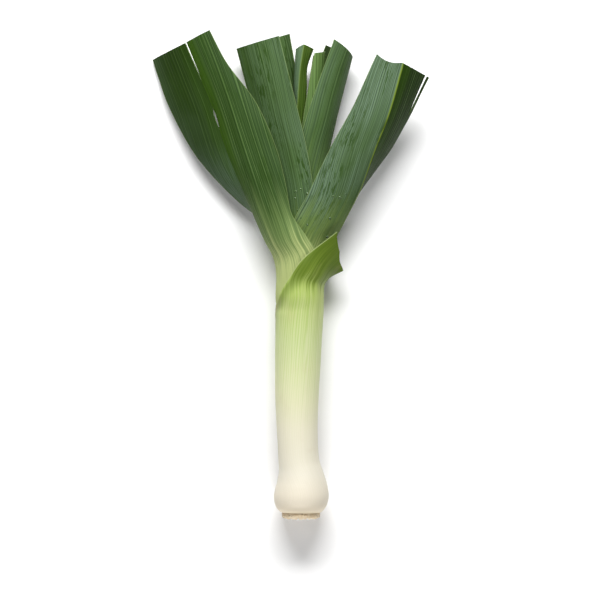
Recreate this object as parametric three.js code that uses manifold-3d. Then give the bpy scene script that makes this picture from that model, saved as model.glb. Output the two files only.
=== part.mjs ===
// A trimmed leek lying on its side: a white shank that swells into a bulb, a cut root plate, and a
// fan of folded leaves whose tops were cut off with a knife.
//
// Millimetres. +Y runs from the root plate to the leaf tips, +X is to the right of a cook who looks
// down on it with the roots at their side of the board, +Z is up, and Z 0 is the board. The origin
// is the middle of the leek's footprint.
import * as THREE from "three";
import { ParametricGeometry } from "three/addons/geometries/ParametricGeometry.js";
import { mergeVertices } from "three/addons/utils/BufferGeometryUtils.js";
import Module from "manifold-3d";

const wasm = await Module();
wasm.setup();

// ---- Driving dimensions --------------------------------------------------------------------
const LEAF_THICKNESS = 1.2;
const WALL_GAP = 0.6; // air between two nested sheaths
const THROAT_Y = -27; // where the solid shank ends and the sheaths inside its mouth begin
const THROAT_X = 5.8; // the shank's axis there
const AXIS_Z = 20.3; // height of that axis over the board
const THROAT_RADIUS = 17.3; // outside of the outermost sheath
const ROOT_FACE_Y = -174.8; // the knife's cut through the root plate
const PLATE_X = 7;
const ROOT_STUBS = 19; // trimmed roots on that face
const STUB_SPREAD = 9.5; // how far from the middle the outermost one stands
const STUB_LENGTH = 2.4;
const STUB_VARIATION = 0.5; // by how much the longest and the shortest one differ from that
const STUB_ROOT_RADIUS = 0.9; // where it leaves the plate
const STUB_TIP_RADIUS = 0.6;
const GOLDEN_ANGLE = Math.PI * (3 - Math.sqrt(5));
const FLAT = 1e-4; // the angle of an arc that is as good as straight
const KNIFE_DEPTH = 80; // more than the leek's height, for cuts that go right through

// Steps of the meshes.
const STEPS_PER_HALF = 7; // across half a leaf, keel to margin
const STEPS_PER_STATION = 2; // along a leaf, between two of its stations
const SIDES = 28; // round the shank and the root plate
const STUB_SIDES = 7;
const LENS_SIDES = 12;
const WELD = 1e-3; // vertices closer than this are one

// Colour and roughness of the pieces that aren't leaves, and the roughness of a waxy leaf.
const LOOKS = {
  root_plate: [0xd8c2a0, 0.9],
  shank: [0xe9e7c8, 0.4],
};
const LEAF_ROUGHNESS = 0.5;

// ---- Stations ------------------------------------------------------------------------------
// A leaf is a strip folded along its keel. Each station is one cross-section, from the base to the
// knife cut: [keel point, margin of the upper half, margin of the lower half, bow of the upper half,
// bow of the lower half]. A bow is the half's rise over its own chord: 0.5 is a half circle and 0 is
// flat.

// The radius of each nested sheath, outermost first, to the middle of its wall.
const sheathRadius = (depth) =>
  THROAT_RADIUS - LEAF_THICKNESS / 2 - depth * (LEAF_THICKNESS + WALL_GAP);

// A station where the leaf is rolled round the axis. Its keel is on the given side (1 right,
// -1 left) and each margin stays short of the far side by the opening, in degrees.
function rolled(side, y, radius, opening, x = THROAT_X) {
  const gap = THREE.MathUtils.degToRad(opening);
  const reach = side * radius * Math.cos(gap);
  const rise = radius * Math.sin(gap);
  const bow = Math.tan((Math.PI - gap) / 4) / 2;
  return [
    [x + side * radius, y, AXIS_Z],
    [x - reach, y, AXIS_Z + rise],
    [x - reach, y, AXIS_Z - rise],
    bow,
    bow,
  ];
}
const sheath = (side, depth) => rolled(side, THROAT_Y, sheathRadius(depth), 12);

const LEAVES = {
  left_outer_leaf: {
    side: -1,
    colour: 0x42632c,
    tears: [
      [[-63.3, 137.5], [-90, 196], 1.8],
      [[-51.2, 104.5], [-53.8, 113.5], 1.6],
    ],
    stations: [
      sheath(-1, 1),
      [[-10.7, -17, 20.3], [19.8, -15, 24.9], [19.8, -16, 15.5], 0.4, 0.4],
      [[-10.3, 0, 20.4], [20, 1, 30], [20, -1, 11.2], 0.35, 0.355],
      [[-12.4, 12, 20.8], [18, 16, 35.4], [17, 9, 7.1], 0.27, 0.315],
      [[-19.5, 26, 22], [10.5, 27.5, 38.2], [8, 17, 3.4], 0.23, 0.16],
      [[-27.2, 43.5, 24], [0.2, 43.5, 37.5], [-10, 32, 8], 0.22, 0.08],
      [[-36.1, 64.5, 25.5], [-4, 64.5, 38.5], [-36.5, 51, 13.5], 0.18, 0.05],
      [[-46.2, 89, 25.5], [-11, 91, 38], [-66.8, 83, 12], 0.14, 0.06],
      [[-56.2, 120, 23.5], [-25, 122.5, 37], [-86.2, 117, 8], 0.12, 0.06],
      [[-66, 144, 22.5], [-45.6, 150.5, 33], [-94.4, 138.4, 4.5], 0.08, 0.04],
      [[-75.2, 166, 22], [-58.3, 174.6, 30], [-99.6, 154.4, 2], 0.1, 0.04],
    ],
  },
  right_outer_leaf: {
    side: 1,
    colour: 0x56794b,
    tears: [
      [[91.3, 131.7], [104, 152], 1.5],
      [[57, 160.5], [84, 151.5], 7],
    ],
    stations: [
      sheath(1, 2),
      rolled(1, -5, sheathRadius(2), 33),
      [[23.5, 11, 20.8], [-4.5, 13, 30.5], [-3.6, 9, 9.2], 0.27, 0.28],
      [[31.5, 26, 23], [-1.5, 30, 33], [4, 20, 6.2], 0.18, 0.17],
      [[39.6, 41.5, 26.5], [4, 43, 35.5], [18, 34, 6], 0.16, 0.1],
      [[49.3, 61, 31], [13.4, 60.2, 37.5], [43, 54, 10], 0.12, 0.06],
      [[60.3, 91, 40], [28.9, 92, 37.5], [66, 82, 17], 0.08, 0.05],
      [[70, 116, 45.5], [44.2, 120, 39], [81, 106, 24], 0.06, 0.05],
      [[79.7, 150, 50], [61, 157, 40], [98.3, 140.5, 33], -0.06, 0.04],
    ],
  },
  left_inner_leaf: {
    side: -1,
    colour: 0x52704a,
    stations: [
      sheath(-1, 3),
      rolled(-1, 3, sheathRadius(3), 32),
      [[-9, 32, 20], [15.5, 34, 30.5], [14.5, 30, 10.5], 0.25, 0.25],
      [[-13, 58, 18.5], [15.6, 60, 32], [16.5, 55, 7.5], 0.16, 0.2],
      [[-19, 86, 17.5], [12, 86, 33], [13.5, 84, 5], 0.12, 0.16],
      [[-27, 117, 17], [4.8, 117, 33], [8.6, 117, 7], 0.1, 0.12],
      [[-38.8, 161.9, 16.5], [-8.6, 170.4, 31], [-1.2, 172.4, 20], 0.1, 0.08],
    ],
  },
  right_inner_leaf: {
    side: 1,
    colour: 0x4b6a3f,
    stations: [
      sheath(1, 4),
      rolled(1, 5, sheathRadius(4), 32),
      [[18.5, 32, 20], [-3, 34, 26], [-2.4, 32, 13.4], 0.27, 0.26],
      [[21.5, 58, 19.5], [0.4, 60, 27.5], [1.4, 58, 11], 0.22, 0.25],
      [[26.5, 86, 19], [5, 88, 29], [3.7, 86, 9], 0.2, 0.2],
      [[33.5, 117, 18.5], [12.2, 117, 30], [8, 117, 9.5], 0.2, 0.16],
      [[43.5, 155.5, 18], [30.6, 168, 31], [24.7, 165, 6], 0.2, 0.12],
    ],
  },
  young_leaf: {
    side: 1,
    colour: 0x3c5a1e,
    stations: [
      sheath(1, 5),
      rolled(1, 15, sheathRadius(5), 32),
      [[16.5, 50, 20], [0.8, 52, 25], [0.8, 50, 14], 0.25, 0.25],
      [[19, 84, 19.5], [5, 88, 25], [5, 84, 12], 0.22, 0.22],
      [[21.5, 116, 19.5], [9.4, 117, 25], [9.4, 116, 12], 0.22, 0.2],
      [[24, 159.6, 19.8], [16.6, 158.4, 24], [15.6, 157, 14], 0.2, 0.15],
    ],
  },
  heart_leaf: {
    side: -1,
    colour: 0x5f7d3c,
    stations: [
      sheath(-1, 6),
      rolled(-1, 20, sheathRadius(6), 32),
      [[1.5, 60, 20.8], [10.5, 60, 22], [8, 60, 16.5], 0.25, 0.25],
      [[3, 95, 22.5], [9.5, 95, 20], [4, 95, 16.5], 0.1, 0.1],
      [[5.2, 131, 24], [11, 133, 19.5], [1.8, 130, 18], 0.06, 0.06],
      [[6.6, 148, 24.5], [11.4, 148, 19], [2.6, 147, 18.5], 0.05, 0.05],
      [[9.2, 164.5, 25], [15.9, 161.5, 19], [3.4, 161.3, 19], 0.05, 0.05],
    ],
  },
};

// The outermost leaf: its sheath is the skin of the shank, and its blade was cut off short, which
// leaves a collar that wraps the others and stands out on the right.
const COLLAR = {
  side: 1,
  stations: [
    rolled(1, THROAT_Y - 5, sheathRadius(0) - 0.3, 4),
    rolled(1, THROAT_Y - 1, sheathRadius(0) + 0.3, 5),
    [[22.8, -17, 20.3], [-8.9, -15.5, 32.2], [-9.6, -18.5, 9.6], 0.36, 0.39],
    [[23.4, -7, 20.5], [-1.2, -2.3, 37], [-2, -10, 3.4], 0.27, 0.29],
    [[28, -1.6, 21], [9.5, 12.3, 39.9], [9, 2, 1.8], 0.2, 0.16],
    [[37, 3, 22], [32.4, 30.3, 35], [28.4, 14, 3.5], 0, 0],
  ],
  tears: [[[33.8, 31], [37.8, 5], 6]],
};

// The shank from the root plate to the throat: [y, x of the axis, radius].
const SHANK_RINGS = [
  [-170.2, 7, 14.2],
  [-168.4, 6.8, 16.2],
  [-165, 6.9, 18.5],
  [-159, 7.1, 19.7],
  [-153.5, 7.3, 19],
  [-147.6, 7.4, 17.6],
  [-140, 6.7, 15.8],
  [-132.6, 5.3, 14.8],
  [-120, 4.5, 14.6],
  [-90, 3.9, 15.6],
  [-47, 5.1, 16.9],
  [THROAT_Y, THROAT_X, THROAT_RADIUS],
];
// The root plate, from its cut face to the bulb.
const PLATE_RINGS = [
  [ROOT_FACE_Y, PLATE_X, 9],
  [-174, PLATE_X, 12],
  [-172.6, PLATE_X, 13.4],
  [-170.5, PLATE_X, 13.6],
];
const BULB_RADIUS = Math.max(...SHANK_RINGS.map((ring) => ring[2]));

// ---- Leaves --------------------------------------------------------------------------------
// A smooth curve through one point of every station.
const through = (points) =>
  new THREE.CatmullRomCurve3(
    points.map((p) => new THREE.Vector3(...p)),
    false,
    "catmullrom",
    0.5,
  );

// A point of an arc over a chord of length 1: how far along the chord, and how far off it.
function arc(along, bow) {
  const half = 2 * Math.atan(2 * bow) || FLAT; // half of the angle that the arc spans
  const a = half * (2 * along - 1);
  return [
    0.5 + Math.sin(a) / (2 * Math.sin(half)),
    (Math.cos(a) - Math.cos(half)) / (2 * Math.sin(half)),
  ];
}

// How a curve moves from a step before a place to a step behind it, without leaving its ends.
const difference = (f, at, step, low) =>
  f(Math.min(at + step, 1)).sub(f(Math.max(at - step, low)));

// The middle surface of a leaf: v runs from its base at 0 to its cut at 1, and s from the upper
// margin at -1 over the keel at 0 to the lower margin at 1.
function leafSurface({ side, stations }) {
  const keel = through(stations.map((station) => station[0]));
  const margins = [1, 2].map((i) => through(stations.map((station) => station[i])));
  const bows = through(stations.map((station) => [station[3], station[4], 0]));
  const step = 0.5 / (stations.length - 1);
  return (v, s) => {
    const half = s > 0 ? 1 : 0;
    const from = keel.getPoint(v);
    const chord = margins[half].getPoint(v).sub(from);
    const run = difference((t) => keel.getPoint(t), v, step, 0);
    const off = run.cross(chord).setLength(chord.length());
    const [x, y] = arc(Math.abs(s), bows.getPoint(v).getComponent(half));
    return from.addScaledVector(chord, x).addScaledVector(off, half ? -side * y : side * y);
  };
}

// A leaf as a closed sheet. Round the sheet, u goes over the outer face and back over the inner
// one; along it, both faces are pinched together at the two ends, which closes them.
function sheet(leaf) {
  const surface = leafSurface(leaf);
  const across = 2 * STEPS_PER_HALF;
  const along = STEPS_PER_STATION * (leaf.stations.length - 1);
  const around = 2 * across + 2;
  const clamp = THREE.MathUtils.clamp;
  const place = (u, v, target) => {
    const row = Math.round(v * (along + 2)) - 1;
    const column = Math.round(u * around) % around;
    const inner = column > across;
    const s = (2 * (inner ? around - 1 - column : column)) / across - 1;
    const t = clamp(row / along, 0, 1);
    const crossways = difference((x) => surface(t, x), s, 2 / across, -1);
    const lengthways = difference((x) => surface(x, s), t, 1 / along, 0);
    const pinched = row < 0 || row > along;
    const offset = pinched ? 0 : (inner ? -LEAF_THICKNESS : LEAF_THICKNESS) / 2;
    target.copy(surface(t, s));
    target.addScaledVector(crossways.cross(lengthways).normalize(), offset);
  };
  return solidOf(new ParametricGeometry(place, around, along + 2));
}

// ---- Solids --------------------------------------------------------------------------------
// A geometry as a solid, once its shared vertices are merged and the triangles that this flattens
// are dropped.
function solidOf(geometry) {
  const bare = geometry.clone();
  bare.deleteAttribute("normal");
  bare.deleteAttribute("uv");
  const merged = mergeVertices(bare, WELD);
  const corners = merged.index.array;
  const kept = [];
  for (let i = 0; i < corners.length; i += 3) {
    const [a, b, c] = corners.subarray(i, i + 3);
    if (a !== b && b !== c && c !== a) kept.push(a, b, c);
  }
  return new wasm.Manifold(
    new wasm.Mesh({
      numProp: 3,
      vertProperties: merged.attributes.position.array,
      triVerts: new Uint32Array(kept),
    }),
  );
}

function geometryOf(made) {
  const { vertProperties, triVerts } = made.getMesh();
  const geometry = new THREE.BufferGeometry();
  geometry.setAttribute("position", new THREE.BufferAttribute(vertProperties, 3));
  geometry.setIndex(new THREE.BufferAttribute(triVerts, 1));
  geometry.computeVertexNormals();
  return geometry;
}

// A round solid along the leek, through rings of [y, x of the centre, radius].
function turned(rings) {
  const curve = through(rings.map(([y, x, radius]) => [radius, y, x]));
  const skin = curve.getPoints(STEPS_PER_STATION * (rings.length - 1));
  const ends = [skin[0], skin.at(-1)].map((p) => new THREE.Vector3(0, p.y, p.z));
  const profile = [ends[0], ...skin, ends[1]];
  const body = new THREE.LatheGeometry(
    profile.map((p) => new THREE.Vector2(p.x, p.y)),
    SIDES,
  );
  const at = body.attributes.position;
  for (let i = 0; i < at.count; i++) {
    const centre = profile[i % profile.length];
    at.setX(i, at.getX(i) + centre.z);
    at.setZ(i, at.getZ(i) + axisHeight(centre.y));
  }
  return solidOf(body);
}

// The axis climbs a little from the bulb, which rests on the board, to the throat.
const axisHeight = (y) =>
  THREE.MathUtils.mapLinear(y, ROOT_FACE_Y, THROAT_Y, BULB_RADIUS, AXIS_Z);

// ---- The pieces ----------------------------------------------------------------------------
// A tear or a curved knife cut through a leaf: a long upright lens from one point to the other.
function lens([x0, y0], [x1, y1], width) {
  const blade = new THREE.CylinderGeometry(0.5, 0.5, KNIFE_DEPTH, LENS_SIDES);
  blade.rotateX(Math.PI / 2);
  blade.scale(Math.hypot(x1 - x0, y1 - y0), width, 1);
  blade.rotateZ(Math.atan2(y1 - y0, x1 - x0));
  blade.translate((x0 + x1) / 2, (y0 + y1) / 2, AXIS_Z);
  return solidOf(blade);
}

const leafSolid = (leaf) =>
  (leaf.tears ?? []).reduce((rest, tear) => rest.subtract(lens(...tear)), sheet(leaf));

// A leaf above the throat, where its sheath stops short of the solid shank.
const leafInMouth = (leaf) =>
  leafSolid(leaf).trimByPlane([0, 1, 0], THROAT_Y + WALL_GAP);

// The white shank and its bulb, with the collar grown on it.
const shank = () => turned(SHANK_RINGS).add(leafSolid(COLLAR));

// The root plate, with the stubs of the trimmed roots on its face in a sunflower pattern.
function rootPlate() {
  let plate = turned(PLATE_RINGS);
  for (let i = 0; i < ROOT_STUBS; i++) {
    const out = STUB_SPREAD * Math.sqrt((i + 0.5) / ROOT_STUBS);
    const turn = i * GOLDEN_ANGLE;
    const length = STUB_LENGTH + STUB_VARIATION * Math.sin(2.3 * i); // no two alike
    const stub = new THREE.CylinderGeometry(
      STUB_ROOT_RADIUS,
      STUB_TIP_RADIUS,
      length,
      STUB_SIDES,
    );
    stub.translate(
      PLATE_X + out * Math.cos(turn),
      ROOT_FACE_Y,
      axisHeight(ROOT_FACE_Y) + out * Math.sin(turn),
    );
    plate = plate.add(solidOf(stub));
  }
  return plate;
}

function piece(name, made, colour, roughness) {
  const look = new THREE.MeshStandardMaterial({ color: colour, roughness, metalness: 0 });
  const mesh = new THREE.Mesh(geometryOf(made), look);
  mesh.name = name;
  return mesh;
}

const leek = new THREE.Group();
leek.name = "leek";
leek.add(piece("root_plate", rootPlate(), ...LOOKS.root_plate));
leek.add(piece("shank", shank(), ...LOOKS.shank));
for (const [name, leaf] of Object.entries(LEAVES))
  leek.add(piece(name, leafInMouth(leaf), leaf.colour, LEAF_ROUGHNESS));

// Put the middle of the footprint on the origin and the lowest point on the board.
const extent = new THREE.Box3().setFromObject(leek, true);
const middle = extent.getCenter(new THREE.Vector3());
leek.position.set(-middle.x, -middle.y, -extent.min.z);

export default leek;
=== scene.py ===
"""A trimmed leek on a pale board: shank and collar, root plate, six folded leaves, water drops.

Sizes in the tables are in millimetres. +Y runs from the roots to the leaf tips, and +Z is up.
"""

import math
import random

import bpy
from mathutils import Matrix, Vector, noise


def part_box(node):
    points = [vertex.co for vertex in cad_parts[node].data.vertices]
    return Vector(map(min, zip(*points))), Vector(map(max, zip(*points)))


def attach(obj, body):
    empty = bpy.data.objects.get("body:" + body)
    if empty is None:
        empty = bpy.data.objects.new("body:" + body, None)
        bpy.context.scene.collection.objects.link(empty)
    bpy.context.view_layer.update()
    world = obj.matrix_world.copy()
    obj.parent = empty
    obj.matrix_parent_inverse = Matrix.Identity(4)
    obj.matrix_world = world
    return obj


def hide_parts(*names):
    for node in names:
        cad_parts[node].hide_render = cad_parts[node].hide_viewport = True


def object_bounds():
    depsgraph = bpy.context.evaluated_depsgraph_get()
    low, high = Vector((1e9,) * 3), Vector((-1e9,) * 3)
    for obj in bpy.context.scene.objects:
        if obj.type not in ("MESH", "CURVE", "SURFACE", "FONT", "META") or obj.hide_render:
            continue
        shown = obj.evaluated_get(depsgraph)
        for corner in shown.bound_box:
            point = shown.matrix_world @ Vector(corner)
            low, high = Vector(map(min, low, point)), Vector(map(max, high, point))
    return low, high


bl_info = {
    "name": "Leek",
    "version": (1, 0, 0),
    "blender": (4, 5, 0),
    "location": "View3D > Sidebar > Leek",
    "description": "Builds a trimmed leek, lying on a pale board",
    "category": "Add Mesh",
}

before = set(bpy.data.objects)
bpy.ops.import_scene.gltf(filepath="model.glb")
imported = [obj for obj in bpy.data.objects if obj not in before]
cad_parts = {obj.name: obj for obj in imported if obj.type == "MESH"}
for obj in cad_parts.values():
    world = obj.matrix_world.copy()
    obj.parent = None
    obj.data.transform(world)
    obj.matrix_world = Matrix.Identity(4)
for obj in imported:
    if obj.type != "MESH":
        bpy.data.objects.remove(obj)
CAD_LOW, CAD_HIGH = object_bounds()

MM = 0.001
THROAT_X = 5.8  # the shank's axis where the leaves come out of it
THROAT_Y = -27
AXIS_Z = 20.3  # height of the axis there, over the board
THROAT_RADIUS = 17.3  # outside of the outermost sheath
WALL = 1.2  # from the middle of one sheath to the next is a wall and a gap
WALL_GAP = 0.6
PLATE_X = 7
ROOT_FACE_Y = -174.8  # the knife's cut through the root plate
BULB_RADIUS = 19.7
PLATE_TOP_Y = -170.2  # where the bulb meets the root plate
CAMERA_HEIGHT = 4000  # high enough that the leaf tips don't look larger than the bulb
CAMERA_X = 6.95
CAMERA_Y = -17.5
FIELD_WIDTH = 429.6  # how much of the board the camera sees
SENSOR = 36


def axis_height(y):
    """The shank's axis climbs a little from the bulb, which rests on the board, to the throat."""
    share = (y - ROOT_FACE_Y) / (THROAT_Y - ROOT_FACE_Y)
    return BULB_RADIUS + (AXIS_Z - BULB_RADIUS) * share


def frame_shift():
    """From the tables' numbers to the frame, by the root plate's middle and the shank's start."""
    low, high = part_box("root_plate")
    middle = (low + high) / (2 * MM)
    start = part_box("shank")[0].y / MM
    return Vector((middle.x - PLATE_X, start - PLATE_TOP_Y, middle.z - axis_height(PLATE_TOP_Y)))


SHIFT = frame_shift()


# ---- Stations ------------------------------------------------------------------------------------
# A leaf is a strip folded along its keel. Each station is one cross-section, from the base to the
# cut: keel point, margin of the upper half, margin of the lower half, and how far each half bows
# out, as a part of its own width.


def sheath_radius(depth):
    """The middle of the wall of a sheath, with 0 the outermost."""
    return THROAT_RADIUS - WALL / 2 - depth * (WALL + WALL_GAP)


def rolled(side, y, radius, opening, x=THROAT_X, z=AXIS_Z):
    """A station rolled round the axis, open by that many degrees on each side of the seam."""
    gap = math.radians(opening)
    reach = side * radius * math.cos(gap)
    rise = radius * math.sin(gap)
    bow = math.tan((math.pi - gap) / 4) / 2
    return ((x + side * radius, y, z), (x - reach, y, z + rise), (x - reach, y, z - rise), bow, bow)


def sheath(side, depth):
    return rolled(side, THROAT_Y, sheath_radius(depth), 12)


LEFT_OUTER = (
    sheath(-1, 1),
    ((-10.7, -17, 20.3), (19.8, -15, 24.9), (19.8, -16, 15.5), 0.4, 0.4),
    ((-10.3, 0, 20.4), (20, 1, 30), (20, -1, 11.2), 0.35, 0.355),
    ((-12.4, 12, 20.8), (18, 16, 35.4), (17, 9, 7.1), 0.27, 0.315),
    ((-19.5, 26, 22), (10.5, 27.5, 38.2), (8, 17, 3.4), 0.23, 0.16),
    ((-27.2, 43.5, 24), (0.2, 43.5, 37.5), (-10, 32, 8), 0.22, 0.08),
    ((-36.1, 64.5, 25.5), (-4, 64.5, 38.5), (-36.5, 51, 13.5), 0.18, 0.05),
    ((-46.2, 89, 25.5), (-11, 91, 38), (-66.8, 83, 12), 0.14, 0.06),
    ((-56.2, 120, 23.5), (-25, 122.5, 37), (-86.2, 117, 8), 0.12, 0.06),
    ((-66, 144, 22.5), (-45.6, 150.5, 33), (-94.4, 138.4, 4.5), 0.08, 0.04),
    ((-75.2, 166, 22), (-58.3, 174.6, 30), (-99.6, 154.4, 2), 0.1, 0.04),
)
RIGHT_OUTER = (
    sheath(1, 2),
    rolled(1, -5, sheath_radius(2), 33),
    ((23.5, 11, 20.8), (-4.5, 13, 30.5), (-3.6, 9, 9.2), 0.27, 0.28),
    ((31.5, 26, 23), (-1.5, 30, 33), (4, 20, 6.2), 0.18, 0.17),
    ((39.6, 41.5, 26.5), (4, 43, 35.5), (18, 34, 6), 0.16, 0.1),
    ((49.3, 61, 31), (13.4, 60.2, 37.5), (43, 54, 10), 0.12, 0.06),
    ((60.3, 91, 40), (28.9, 92, 37.5), (66, 82, 17), 0.08, 0.05),
    ((70, 116, 45.5), (44.2, 120, 39), (81, 106, 24), 0.06, 0.05),
    ((79.7, 150, 50), (61, 157, 40), (98.3, 140.5, 33), -0.06, 0.04),
)
LEFT_INNER = (
    sheath(-1, 3),
    rolled(-1, 3, sheath_radius(3), 32),
    ((-9, 32, 20), (15.5, 34, 30.5), (14.5, 30, 10.5), 0.25, 0.25),
    ((-13, 58, 18.5), (15.6, 60, 32), (16.5, 55, 7.5), 0.16, 0.2),
    ((-19, 86, 17.5), (12, 86, 33), (13.5, 84, 5), 0.12, 0.16),
    ((-27, 117, 17), (4.8, 117, 33), (8.6, 117, 7), 0.1, 0.12),
    ((-38.8, 161.9, 16.5), (-8.6, 170.4, 31), (-1.2, 172.4, 20), 0.1, 0.08),
)
RIGHT_INNER = (
    sheath(1, 4),
    rolled(1, 5, sheath_radius(4), 32),
    ((18.5, 32, 20), (-3, 34, 26), (-2.4, 32, 13.4), 0.27, 0.26),
    ((21.5, 58, 19.5), (0.4, 60, 27.5), (1.4, 58, 11), 0.22, 0.25),
    ((26.5, 86, 19), (5, 88, 29), (3.7, 86, 9), 0.2, 0.2),
    ((33.5, 117, 18.5), (12.2, 117, 30), (8, 117, 9.5), 0.2, 0.16),
    ((43.5, 155.5, 18), (30.6, 168, 31), (24.7, 165, 6), 0.2, 0.12),
)
YOUNG = (
    sheath(1, 5),
    rolled(1, 15, sheath_radius(5), 32),
    ((16.5, 50, 20), (0.8, 52, 25), (0.8, 50, 14), 0.25, 0.25),
    ((19, 84, 19.5), (5, 88, 25), (5, 84, 12), 0.22, 0.22),
    ((21.5, 116, 19.5), (9.4, 117, 25), (9.4, 116, 12), 0.22, 0.2),
    ((24, 159.6, 19.8), (16.6, 158.4, 24), (15.6, 157, 14), 0.2, 0.15),
)
HEART = (
    sheath(-1, 6),
    rolled(-1, 20, sheath_radius(6), 32),
    ((1.5, 60, 20.8), (10.5, 60, 22), (8, 60, 16.5), 0.25, 0.25),
    ((3, 95, 22.5), (9.5, 95, 20), (4, 95, 16.5), 0.1, 0.1),
    ((5.2, 131, 24), (11, 133, 19.5), (1.8, 130, 18), 0.06, 0.06),
    ((6.6, 148, 24.5), (11.4, 148, 19), (2.6, 147, 18.5), 0.05, 0.05),
    ((9.2, 164.5, 25), (15.9, 161.5, 19), (3.4, 161.3, 19), 0.05, 0.05),
)


def shank_station(y, x, radius):
    """A closed ring of the shank, with the outermost sheath's keel on the right."""
    return rolled(1, y, radius - WALL / 2, 0, x, axis_height(y))


# The outermost leaf: bulb, shank, and the collar that its blade was cut down to.
SHANK = (
    shank_station(-169.6, 7, 10.5),
    shank_station(-170.3, 7, 13.4),
    shank_station(-168.4, 6.8, 16.4),
    shank_station(-165, 6.9, 18.6),
    shank_station(-159.5, 7.1, 19.8),
    shank_station(-153.5, 7.3, 19.1),
    shank_station(-147.6, 7.4, 17.6),
    shank_station(-140, 6.7, 15.8),
    shank_station(-132.6, 5.3, 14.8),
    shank_station(-120, 4.5, 14.6),
    shank_station(-105, 4, 15),
    shank_station(-85, 4, 15.8),
    shank_station(-65, 4.6, 16.4),
    shank_station(-47, 5.1, 16.9),
    shank_station(-34, 5.6, 17.2),
    rolled(1, -26.5, 16.9, 3),
    ((22.8, -17, 20.3), (-8.9, -15.5, 32.2), (-9.6, -18.5, 9.6), 0.36, 0.39),
    ((23.4, -7, 20.5), (-1.2, -2.3, 37), (-2, -10, 3.4), 0.27, 0.29),
    ((28, -1.6, 21), (9.5, 12.3, 39.9), (9, 2, 1.8), 0.2, 0.16),
    ((37, 3, 22), (32.4, 30.3, 35), (28.4, 14, 3.5), 0, 0),
)


# ---- Sizes and colours ---------------------------------------------------------------------------
class LeekSizes(bpy.types.PropertyGroup):
    """Sizes of the leek's pieces."""

    leaf_wall: bpy.props.FloatProperty(
        name="Leaf wall",
        description="Thickness of a leaf at its keel",
        default=1.1 * MM,
        unit="LENGTH",
    )
    margin_wall: bpy.props.FloatProperty(
        name="Margin wall",
        description="Thickness of a leaf at its margins",
        default=0.5 * MM,
        unit="LENGTH",
    )
    columns: bpy.props.IntProperty(
        name="Columns",
        description="Faces across a leaf, from margin to margin",
        default=48,
        min=8,
    )
    rows: bpy.props.IntProperty(
        name="Rows",
        description="Faces along a leaf, from base to cut",
        default=150,
        min=20,
    )
    root_stubs: bpy.props.IntProperty(
        name="Root stubs",
        description="Trimmed roots left on the root plate",
        default=46,
        min=1,
    )


def colour_property(name, description, default):
    """A colour that the user can change. Defaults are linear."""
    return bpy.props.FloatVectorProperty(
        name=name,
        description=description,
        default=default,
        subtype="COLOR",
        size=3,
        min=0,
        max=1,
    )


class LeekColours(bpy.types.PropertyGroup):
    """Colours of the leek's pieces."""

    dark: colour_property("Dark green", "Deep green between the veins", (0.008, 0.022, 0.002))
    green: colour_property("Leaf green", "Main green of the outer leaves", (0.024, 0.060, 0.005))
    inner: colour_property("Inner green", "Main green of the inner leaves", (0.062, 0.118, 0.034))
    heart: colour_property("Heart green", "Light green of the young leaves", (0.108, 0.188, 0.048))
    # This blue grey is real wax bloom, and it also paints sheen where leaves face the light: along
    # their margins, near the right leaf's cut and on one half of some leaves.
    bloom_and_sheen: colour_property("Bloom", "Blue grey wax on a leaf", (0.106, 0.166, 0.104))
    vein: colour_property("Vein", "Pale line over a vein", (0.105, 0.180, 0.055))
    keel: colour_property("Keel", "Clean green beside a keel", (0.030, 0.076, 0.001))
    rubbed: colour_property("Rubbed", "Green where wax is rubbed off or wet", (0.020, 0.050, 0.004))
    foot: colour_property("Foot", "Yellow green at the foot of a blade", (0.125, 0.185, 0.030))
    sheath: colour_property("Sheath", "Pale green of a leaf's own sheath", (0.400, 0.460, 0.180))
    margin: colour_property("Margin", "Pale line along a leaf's margin", (0.200, 0.270, 0.095))
    root: colour_property("Root", "Tan of the root plate", (0.780, 0.650, 0.450))


# Linear colours of small features, which the panel doesn't list.
CREST = (0.170, 0.240, 0.030)  # on a keel
# Partly the collar's own deeper green, partly painted shade under its folded tip.
COLLAR_SIDE_GREEN_AND_SHADE = (0.078, 0.130, 0.006)
# Painted highlight along the collar's fold ridge.
COLLAR_RIDGE_HIGHLIGHT = (0.34, 0.40, 0.14)
COLLAR_BLUSH = (0.33, 0.26, 0.11)
COLLAR_RIM = (0.40, 0.47, 0.20)
SHANK_LINES = (0.72, 0.84, 0.50)  # what the shank's colour is multiplied by
SHANK_STAIN = (0.50, 0.40, 0.25)
DROP_DARK = (0.030, 0.070, 0.012)
DROP_PALE = (0.080, 0.140, 0.050)
ROOT_DARK = (0.56, 0.40, 0.23)
ROOT_PALE = (0.86, 0.76, 0.58)
ROOT_SPECK = (0.20, 0.11, 0.05)
BOARD_GREY = (0.88, 0.88, 0.88)
BOARD_WHITE = (0.92, 0.92, 0.92)


# ---- Finishes ------------------------------------------------------------------------------------
class Number:
    """A value that varies over a surface. Arithmetic on it adds Math nodes to its finish."""

    def __init__(self, finish, socket):
        self.finish = finish
        self.socket = socket

    def sum(self, operation, *values):
        inputs = dict(enumerate(values))
        node = self.finish.node("ShaderNodeMath", {"operation": operation}, inputs)
        return Number(self.finish, node.outputs[0])

    def __add__(self, other):
        return self.sum("ADD", self, other)

    def __radd__(self, other):
        return self.sum("ADD", other, self)

    def __sub__(self, other):
        return self.sum("SUBTRACT", self, other)

    def __rsub__(self, other):
        return self.sum("SUBTRACT", other, self)

    def __mul__(self, other):
        return self.sum("MULTIPLY", self, other)

    def __rmul__(self, other):
        return self.sum("MULTIPLY", other, self)

    def __truediv__(self, other):
        return self.sum("DIVIDE", self, other)

    def __abs__(self):
        return self.sum("ABSOLUTE", self)

    def sine(self):
        return self.sum("SINE", self)


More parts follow.
